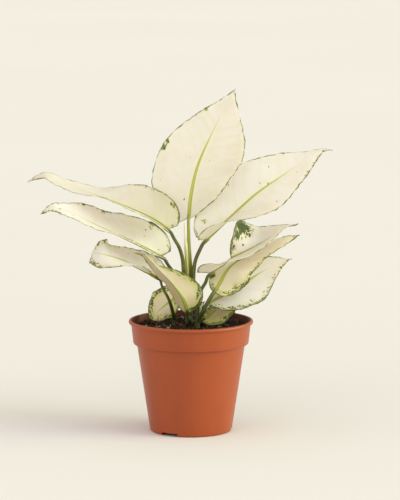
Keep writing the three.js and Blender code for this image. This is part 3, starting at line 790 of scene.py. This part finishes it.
def mottled(g, cream):
    """Feathered blotches along the side veins and dashes along the margin, each with a
    yellow-green rim, where the leaf tends to green. The colour, and how green it is."""
    flat, mottle = g.vector("flat"), g.fact("mottle")
    blotch = g.noise(g.scaled(g.vector("streak"), (1.5, 0.6, 1)), 260, 3, 0.65, 0.4)
    dash = g.noise(g.scaled(g.vector("edge"), (0.5, 1, 1)), 360, 3, 0.6, 0.3)
    fleck = g.noise(flat, 800, 2, 0.5)
    stray = g.noise(flat, 230, 1, 0.4)
    spread = g.plus(g.times(blotch, 1.7), g.times(dash, 1.6))
    spread = g.plus(spread, g.times(fleck, 1.1))
    spread = g.times(g.math("SUBTRACT", spread, 2.2), g.smooth(mottle, 0, 0.25))
    field = g.plus(g.plus(spread, mottle), g.smooth(stray, 0.72, 0.8, 0, 0.75))
    halo = g.times(g.smooth(mottle, 0.05, 0.35), g.fact("halo"))
    halo = g.math("MAXIMUM", g.smooth(field, 0.18, 0.46, 0, 0.45), halo)
    core = g.smooth(field, 0.4, 0.52)
    dark = g.mix(g.smooth(fleck, 0.4, 0.65), "26300a", "56691a")
    return g.mix(core, g.mix(halo, cream, "bcba56"), dark), core


def hemmed(g, colour):
    """The margin's thin dark line, of changing strength, in a soft yellow-green hem."""
    margin = g.fact("margin")
    dashes = g.noise(g.scaled(g.vector("edge"), (1, 0.1, 1)), 90, 3, 0.7)
    dashes = g.smooth(dashes, 0.38, 0.6, 0.15, 1)
    soft = g.times(g.smooth(margin, 0.0003, 0.0036, 0.5, 0), dashes)
    line = g.times(g.smooth(margin, 0.0006, 0.0013, 1, 0), dashes)
    return g.mix(line, g.mix(soft, colour, "c3c678"), "40430c"), line


def with_midrib(g, colour):
    """The green cord of the midrib and a glow beside it, which fade towards the tip."""
    along, rib = g.fact("along"), g.fact("rib")
    share = g.math("DIVIDE", rib, g.smooth(along, 0, 0.8, 0.0019, 0.0006))
    fade = g.smooth(along, 0.5, 0.8, 1, 0.06)
    glow = g.times(g.smooth(rib, 0, 0.006, 0.35, 0), fade)
    cord = g.mix(g.smooth(share, 0.2, 0.9), "a3aa4a", "7b8628")
    strip = g.times(g.smooth(share, 0.8, 1.15, 1, 0), fade)
    return g.mix(strip, g.mix(glow, colour, "cfd088"), cord)


def blade_material():
    """Light passes through the cream, and not through the green marks."""
    g = Graph("blade")
    flat = g.vector("flat")
    broad = g.noise(flat, 40, 2, 0.5)
    colour, core = mottled(g, cream_colour(g, broad))
    colour, line = hemmed(g, colour)
    colour = with_midrib(g, colour)
    normal = g.bump(g.noise(flat, 2600, 2, 0.6), 0.00003, 0.35)
    green = g.math("MAXIMUM", core, line)
    g.feed(g.shader.inputs["Subsurface Weight"], g.smooth(green, 0.2, 0.8, 1, 0))
    return g.finish(colour, g.smooth(broad, 0.3, 0.7, 0.45, 0.54), normal,
                    Subsurface_Scale=0.005, Subsurface_Radius=(1, 0.92, 0.78),
                    Specular_IOR_Level=0.4)


def stalk_material(name, dark, light, pale, roughness):
    g = Graph(name)
    flat = g.vector("flat")
    streaks = g.noise(g.scaled(flat, (0.12, 1, 1)), 900, 2, 0.6)
    patches = g.noise(g.scaled(flat, (0.5, 1, 1)), 160, 2, 0.5)
    colour = g.mix(g.smooth(streaks, 0.35, 0.7), dark, light)
    colour = g.mix(g.smooth(patches, 0.5, 0.75, 0, 0.4), colour, light)
    colour = g.mix(g.fact("pale"), colour, pale)
    colour = g.mix(g.times(g.fact("low"), 0.75), colour, "1d2405")
    normal = g.bump(streaks, 0.00008, 0.5)
    return g.finish(colour, g.smooth(streaks, 0.3, 0.7, roughness, roughness + 0.12), normal,
                    Subsurface_Weight=0.1, Subsurface_Scale=0.001)


def cane_material():
    g = Graph("cane")
    fibres = g.noise(g.scaled(g.vector("flat"), (0.25, 1, 1)), 700, 3, 0.6)
    colour = g.mix(g.smooth(fibres, 0.35, 0.65), "242c0a", "414816")
    colour = g.mix(g.fact("pale"), colour, "5c5028")
    normal = g.bump(fibres, 0.0002, 0.6)
    return g.finish(colour, g.smooth(fibres, 0.3, 0.7, 0.5, 0.7), normal)


def pot_material():
    g = Graph("pot")
    place = g.objectwise()
    flow = g.noise(g.scaled(place, (1, 1, 0.25)), 30, 3, 0.5)
    grain = g.noise(place, 1500, 3, 0.6)
    speck = g.noise(place, 420, 2, 0.5)
    colour = g.mix(g.smooth(flow, 0.3, 0.7), "963f10", "9e4414")
    colour = g.mix(g.smooth(speck, 0.62, 0.8, 0, 0.35), colour, "973f1f")
    # Painted shade: the inner wall darkens in patches towards a deep red-brown, and is made rougher
    # there.
    inner_shade_patches = g.smooth(g.noise(place, 60, 3, 0.6), 0.3, 0.6, 0.7, 0.9)
    painted_inner_shade = g.times(g.fact("inner"), inner_shade_patches)
    colour = g.mix(painted_inner_shade, colour, "401205")
    normal = g.bump(grain, 0.00004, 0.5, g.bump(flow, 0.0004, 0.25))
    rough = g.smooth(g.plus(flow, g.times(grain, 0.4)), 0.4, 1, 0.33, 0.45)
    rough = g.plus(rough, g.times(painted_inner_shade, 0.4))
    return g.finish(colour, rough, normal, Specular_IOR_Level=0.5)


def soil_material():
    g = Graph("soil")
    place = g.objectwise()
    clump = g.noise(place, 130, 4, 0.65)
    grit = g.noise(place, 900, 3, 0.6)
    shade = g.fact("shade")
    colour = g.mix(g.smooth(clump, 0.35, 0.65), "0d0805", "2c1a10")
    colour = g.mix(g.smooth(grit, 0.6, 0.75, 0, 0.4), colour, "5c3d2a")
    moss = g.smooth(g.noise(place, 70, 3, 0.6), 0.45, 0.6, 0, 0.8)
    colour = g.mix(g.times(moss, g.fact("near")), colour, "151b07")
    colour = g.mix(g.smooth(shade, 0, 0.5), colour, "4d3322")
    colour = g.mix(g.smooth(shade, 0.5, 1), colour, "a8927d")
    normal = g.bump(grit, 0.0006, 0.9, g.bump(clump, 0.001, 0.5))
    return g.finish(colour, g.smooth(grit, 0.3, 0.7, 0.75, 0.98), normal, Specular_IOR_Level=0.2)


def floor_material():
    g = Graph("floor")
    soft = g.noise(g.objectwise(), 0.8, 2, 0.5)
    colour = g.mix(g.smooth(soft, 0.3, 0.7), "e3e1e0", "e5e3e2")
    return g.finish(colour, 1.0, Specular_IOR_Level=0.0)


def circle(radius, height, sides):
    """Points of a level circle round the axis."""
    angle = np.linspace(0, 2 * np.pi, sides, endpoint=False)
    return [(radius * math.cos(a), radius * math.sin(a), height) for a in angle]


def closed_faces(rings, sides):
    """Faces of a closed body of rings round the axis. It begins at point 0 and ends at point 1,
    both on the axis, and the points of the rings start at 2."""
    faces = []
    last = 2 + (rings - 1) * sides
    for j in range(sides):
        k = (j + 1) % sides
        faces.append((0, 2 + k, 2 + j))
        for a in range(2, last, sides):
            b = a + sides
            faces.append((a + j, a + k, b + k, b + j))
        faces.append((last + j, last + k, 1))
    return faces


def lathe(name, profile, sides):
    """A closed body turned round Z from a profile of (radius, height) from axis to axis."""
    vertices = [(0, 0, profile[0][1]), (0, 0, profile[-1][1])]
    for radius, height in profile[1:-1]:
        vertices += circle(radius, height, sides)
    return make_mesh(name, vertices, closed_faces(len(profile) - 2, sides), sharp=POT_SHARP_ANGLE)


def rounded(corners, steps=5):
    """The outline through corners of (radius, height, arc): each but the first and the last is
    rounded by an arc that reaches this far from it."""
    places = [Vector(corner[:2]) for corner in corners]
    made = [places[0]]
    for i in range(1, len(places) - 1):
        here, arc = places[i], corners[i][2]
        start = here + (places[i - 1] - here).normalized() * arc
        end = here + (places[i + 1] - here).normalized() * arc
        for k in range(steps + 1):
            t = k / steps
            made.append((1 - t) ** 2 * start + 2 * t * (1 - t) * here + t**2 * end)
    return [*made, places[-1]]


def with_rows(profile, longest):
    """The profile with extra points, so that no stretch is longer than this."""
    made = [profile[0]]
    for a, b in zip(profile, profile[1:]):
        parts = max(1, math.ceil((b - a).length / longest))
        made += [a.lerp(b, (k + 1) / parts) for k in range(parts)]
    return made


def drain_cutters():
    """Boxes through the foot and rods through the floor of the pot."""
    cutters = bmesh.new()
    for i in range(DRAIN_SLOTS):
        turn = Matrix.Rotation(math.radians(DRAIN_SLOT_TURN + 360 / DRAIN_SLOTS * i), 4, "Z")
        size = Matrix.Diagonal((*DRAIN_SLOT_SIZE, 2 * FOOT_RECESS, 1))
        middle = Matrix.Translation((0, -(FOOT_RING_RADIUS + POT_FOOT_RADIUS) / 2, 0))
        bmesh.ops.create_cube(cutters, size=1, matrix=turn @ middle @ size)
    for i in range(DRAIN_HOLES):
        turn = Matrix.Rotation(2 * math.pi * i / DRAIN_HOLES, 4, "Z")
        middle = Matrix.Translation((0, -(FOOT_CENTRE_RADIUS + FOOT_RING_RADIUS) / 2, POT_FLOOR))
        bmesh.ops.create_cone(cutters, cap_ends=True, segments=40, radius1=DRAIN_HOLE_RADIUS,
                              radius2=DRAIN_HOLE_RADIUS, depth=DRAIN_CUT, matrix=turn @ middle)
    mesh = bpy.data.meshes.new("cutters")
    cutters.to_mesh(mesh)
    cutters.free()
    return add_object("cutters", mesh)


def cut_drains(pot):
    cutter = drain_cutters()
    cut = pot.modifiers.new("cut", "BOOLEAN")
    cut.operation, cut.solver, cut.object = "DIFFERENCE", "EXACT", cutter
    shape = pot.evaluated_get(bpy.context.evaluated_depsgraph_get())
    mesh = bpy.data.meshes.new_from_object(shape)
    pot.modifiers.clear()
    pot.data = mesh
    bpy.data.objects.remove(cutter)
    mesh.shade_smooth()
    mesh.set_sharp_from_angle(angle=math.radians(POT_SHARP_ANGLE))


def mark_inside(pot, top):
    """Attribute inner: 1 where the pot is nearer to the axis than the middle of its wall; the pot
    material paints shade there.
    """
    outside = np.array([
        (0, POT_FOOT_RADIUS), (POT_STEP_HEIGHT, POT_STEP_RADIUS),
        (POT_STEP_HEIGHT + POT_WALL, POT_BAND_LOW_RADIUS),
        (top - POT_LIP_HEIGHT, POT_BAND_TOP_RADIUS), (top, POT_MOUTH_RADIUS + POT_WALL),
    ])
    places = np.array([v.co for v in pot.data.vertices])
    radius, height = np.hypot(places[:, 0], places[:, 1]), places[:, 2]
    middle = np.interp(height, outside[:, 0], outside[:, 1]) - POT_WALL / 2
    inner = ((radius < middle) & (height > POT_FLOOR / 2)).astype(float)
    pot.data.attributes.new("inner", "FLOAT", "POINT").data.foreach_set("value", inner)


def build_pot():
    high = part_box("pot")[1]
    lip, top = high.x, high.z
    corners = [
        (0, 0, 0), (FOOT_CENTRE_RADIUS, 0, .0003),
        (FOOT_CENTRE_RADIUS + FOOT_DRAFT, FOOT_RECESS, .0003),
        (FOOT_RING_RADIUS - FOOT_DRAFT, FOOT_RECESS, .0003), (FOOT_RING_RADIUS, 0, .0004),
        (POT_FOOT_RADIUS, 0, .0022), (POT_STEP_RADIUS, POT_STEP_HEIGHT, .0018),
        (POT_BAND_LOW_RADIUS, POT_STEP_HEIGHT, .0011),
        (POT_BAND_TOP_RADIUS, top - POT_LIP_HEIGHT, .0012), (lip, top - POT_LIP_HEIGHT, .0009),
        (lip, top, .0016), (POT_MOUTH_RADIUS, top, .0009),
        (POT_BAND_LOW_RADIUS - POT_WALL, POT_STEP_HEIGHT + POT_WALL, .001),
        (POT_STEP_RADIUS - POT_WALL, POT_STEP_HEIGHT + POT_WALL, .001),
        (POT_FOOT_RADIUS - POT_WALL, POT_FLOOR, .002), (0, POT_FLOOR, 0),
    ]
    pot = lathe("nursery_pot", with_rows(rounded(corners), POT_LONGEST_ROW), POT_SIDES)
    cut_drains(pot)
    mark_inside(pot, top)
    return pot


def soil_height(x, y):
    inward = 1 - min(1, math.hypot(x, y) / POT_MOUTH_RADIUS) ** 2
    mound = SOIL_MOUND + SOIL_MOUND_BACK * y / POT_MOUTH_RADIUS
    coarse = noise.fractal(Vector((x, y, 3)) * SOIL_CLODS, 0.8, 2.1, 3)
    fine = noise.fractal(Vector((x, y, 7)) * SOIL_GRAINS, 0.7, 2.2, 3)
    relief = SOIL_RELIEF * (0.6 * coarse + 0.45 * fine) * min(1, 4 * inward + 0.2)
    return SOIL_EDGE_HEIGHT + mound * inward + relief


def near_canes(vertices):
    """1 beside a cane, 0 from a finger's breadth away."""
    places = np.array(vertices)[:, :2]
    feet = np.array([points[1][:2] for points, radii in CANES.values()])
    gap = np.linalg.norm(places[:, None] - feet[None], axis=-1).min(axis=1)
    return 1 - smooth(gap, *MOSS_FROM_CANE)


def build_soil():
    """The mound, from the middle outwards, then the sides of the root ball down to the floor."""
    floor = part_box("soil")[0].z
    vertices = [(0, 0, soil_height(0, 0)), (0, 0, floor)]
    for i in range(SOIL_RINGS):
        ring = circle(SOIL_RADIUS * (i + 1) / SOIL_RINGS, 0, SOIL_SIDES)
        vertices += [(x, y, soil_height(x, y)) for x, y, _ in ring]
    root_ball = [*((r, SOIL_STEP_HEIGHT) for r in SOIL_STEP_RADII), (SOIL_FOOT_RADIUS, floor)]
    for radius, height in root_ball:
        vertices += circle(radius, height, SOIL_SIDES)
    faces = closed_faces(SOIL_RINGS + len(root_ball), SOIL_SIDES)
    downwards = [(face[0], *face[:0:-1]) for face in faces]
    attributes = {"shade": np.zeros(len(vertices)), "near": near_canes(vertices)}
    return make_mesh("peat_soil", vertices, downwards, attributes, 80)


def scatter_place(draw, edge):
    """A random place on the soil, this far from its edge."""
    r = (SOIL_RADIUS - edge) * math.sqrt(draw.random())
    a = 2 * math.pi * draw.random()
    x, y = r * math.cos(a), r * math.sin(a)
    return Vector((x, y, soil_height(x, y)))


def build_crumbs(draw):
    """Peat crumbs: small uneven lumps that lie partly sunk in the soil, a few of them pale."""
    lump = bmesh.new()
    bmesh.ops.create_icosphere(lump, subdivisions=2, radius=1)
    shape = np.array([v.co for v in lump.verts])
    sides = np.array([[v.index for v in f.verts] for f in lump.faces])
    lump.free()
    vertices, faces, shade = [], [], []
    for _ in range(CRUMBS):
        radius = CRUMB_RADII[0] + (CRUMB_RADII[1] - CRUMB_RADII[0]) * draw.random() ** 2.5
        centre = scatter_place(draw, 2 * radius)
        turn = Matrix.Rotation(2 * math.pi * draw.random(), 3, draw.normal(size=3))
        stretch = np.array([1, 0.75 + 0.3 * draw.random(), 0.55 + 0.3 * draw.random()])
        offset = Vector(draw.uniform(-50, 50, 3))
        rough = np.array([1 + 0.45 * noise.noise(Vector(p) * 1.6 + offset) for p in shape])
        points = (shape * rough[:, None] * stretch * radius) @ np.array(turn).T
        faces += (sides + len(vertices)).tolist()
        vertices += (points + np.array(centre) + [0, 0, 0.25 * radius]).tolist()
        pale = draw.random() < PALE_CRUMBS
        tone = 0.3 + 0.7 * draw.random() if pale else 0.15 * draw.random()
        shade += [tone] * len(points)
    attributes = {"shade": shade, "near": near_canes(vertices)}
    return make_mesh("peat_crumbs", vertices, faces, attributes, 60)


def build_fibres(draw):
    """Thin root and peat fibres that arch over the soil."""
    vertices, faces, shade = [], [], []
    sides, steps = 5, 8
    for _ in range(FIBRES):
        start = scatter_place(draw, FIBRE_MARGIN)
        heading = 2 * math.pi * draw.random()
        bend = draw.normal() * 1.3
        length = FIBRE_LENGTH[0] + FIBRE_LENGTH[1] * draw.random() ** 2
        radius = FIBRE_RADIUS[0] + FIBRE_RADIUS[1] * draw.random()
        arch = FIBRE_ARCH[0] + FIBRE_ARCH[1] * draw.random()
        tone = 0.3 + 0.6 * draw.random()
        faces += ring_faces(steps + 1, sides, len(vertices))
        x, y = start.x, start.y
        for k in range(steps + 1):
            t = k / steps
            angle = heading + bend * t
            x += math.cos(angle) * length / steps
            y += math.sin(angle) * length / steps
            z = soil_height(x, y) + FIBRE_LIFT + arch * math.sin(math.pi * t)
            side = Vector((-math.sin(angle), math.cos(angle), 0))
            for j in range(sides):
                a = 2 * math.pi * j / sides
                off = side * math.cos(a) * radius + Vector((0, 0, math.sin(a) * radius))
                vertices.append(tuple(Vector((x, y, z)) + off * (1 - 0.6 * t)))
                shade.append(tone)
    return make_mesh("peat_fibres", vertices, faces, {"shade": shade}, 60)


def add_sun(name, turn, height, spread, strength, colour):
    lamp = bpy.data.lights.new(name, "SUN")
    lamp.energy, lamp.color, lamp.angle = strength, colour, math.radians(spread)
    sun = add_object(name, lamp)
    sun.rotation_euler = (math.radians(90 - height), 0, math.radians(turn))


def set_stage():
    bpy.ops.mesh.primitive_circle_add(vertices=96, radius=FLOOR_RADIUS, fill_type="NGON")
    floor = bpy.context.object
    floor.name = "floor"
    floor.data.materials.append(floor_material())
    world = bpy.data.worlds.new("studio")
    world.use_nodes = True
    sky = world.node_tree.nodes["Background"]
    sky.inputs["Color"].default_value = SKY_COLOUR
    sky.inputs["Strength"].default_value = SKY_STRENGTH
    bpy.context.scene.world = world
    for name, settings in SUNS.items():
        add_sun(name, *settings)
    bpy.context.scene.view_settings.view_transform = "Standard"


def set_camera():
    lens = bpy.data.cameras.new("camera")
    lens.sensor_width = SENSOR
    lens.lens = CAMERA_FOCAL_PIXELS / IMAGE_HEIGHT * SENSOR
    lens.clip_end = CAMERA_RANGE
    camera = add_object("camera", lens)
    back = Vector((0, -math.cos(CAMERA_PITCH), math.sin(CAMERA_PITCH)))
    camera.location = CAMERA_TARGET + CAMERA_DISTANCE * back
    camera.rotation_euler = (math.pi / 2 - CAMERA_PITCH, 0, 0)
    bpy.context.scene.camera = camera


def add_leaves():
    blade = blade_material()
    stalk = stalk_material("stalk", "3a4208", "676c18", "a3a748", 0.36)
    for seed, (name, leaf) in enumerate(LEAVES.items()):
        place_piece(build_blade(name, leaf, seed), blade, "blade", "blade_" + name)
        piece = build_stem("petiole_" + name, stalk_points(leaf), leaf.stalk_radii, STALK_SIDES,
                           STALK_STEP, stalk_section, stalk_paint(STALK_PALE.get(name, 0)))
        place_piece(piece, stalk, "stalk", "stalk_" + name)


def add_canes():
    cane = cane_material()
    for name, (points, radii) in CANES.items():
        piece = build_stem("stem_" + name, points, radii, CANE_SIDES, CANE_STEP, cane_section,
                           cane_paint)
        place_piece(piece, cane, "cane", "cane_" + name)


def add_new_leaf():
    rolled = stalk_material("new_leaf", "a8a94c", "cfcf86", "efe9c8", 0.4)
    piece = build_stem("rolled_leaf", NEW_LEAF_POINTS, NEW_LEAF_RADII, NEW_LEAF_SIDES, STALK_STEP,
                       rolled_section, rolled_paint)
    place_piece(piece, rolled, "new_leaf", "new_leaf")


def add_soil():
    soil = soil_material()
    draw = np.random.default_rng(SEED)
    place_piece(build_soil(), soil, "soil", "soil")
    place_piece(build_crumbs(draw), soil, "soil")
    place_piece(build_fibres(draw), soil, "soil")


set_camera()
set_stage()
add_leaves()
add_canes()
add_new_leaf()
place_piece(build_pot(), pot_material(), "pot", "pot")
add_soil()
